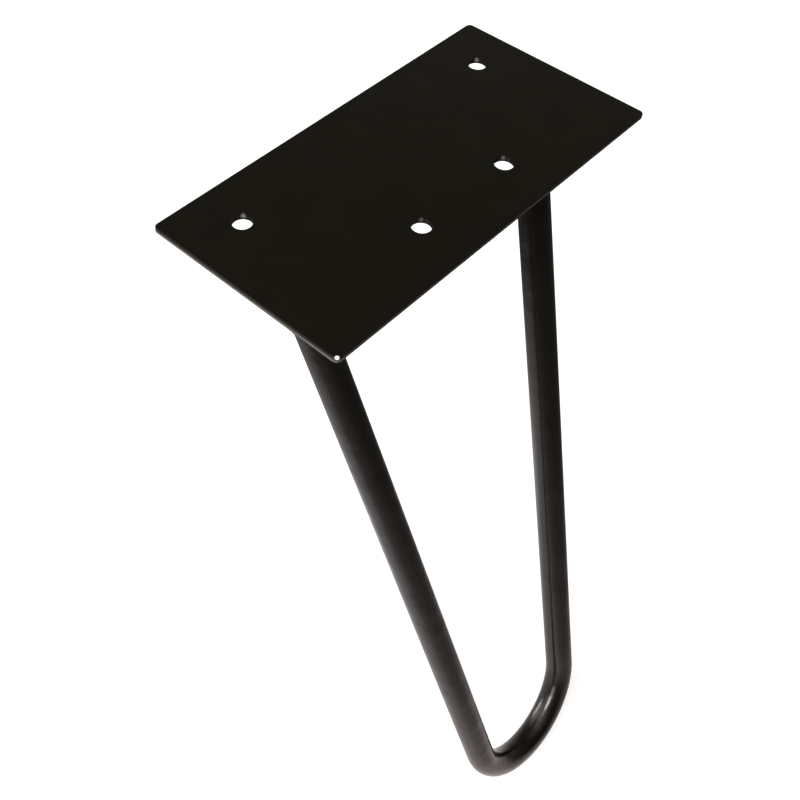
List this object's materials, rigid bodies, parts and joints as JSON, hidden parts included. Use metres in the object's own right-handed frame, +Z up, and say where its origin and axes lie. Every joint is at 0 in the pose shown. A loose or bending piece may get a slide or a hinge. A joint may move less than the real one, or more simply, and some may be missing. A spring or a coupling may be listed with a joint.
{
  "type": "hairpin furniture leg",
  "caption": "Screw-on furniture leg: a round bar bent into a leaning hairpin and welded under a thin flat rectangular plate.",
  "frame": {"origin": "centre of the mounting plate's top face, which meets the furniture", "axes": "+Z up out of the top face, +X along the plate's long edge from the end that carries an arm towards the end that carries none, -Y the way the hairpin leans"},
  "size_m": [0.16, 0.1554, 0.28],
  "materials": {
    "plate_coat": "satin black coat",
    "bar_coat": "satin black coat",
    "weld_coat": "satin black coat over a rippled bead"
  },
  "bodies": {
    "root": {"mounting_plate": "plate_coat", "hairpin_bar": "bar_coat", "corner_weld": "weld_coat", "middle_weld": "weld_coat"}
  },
  "joints": []
}
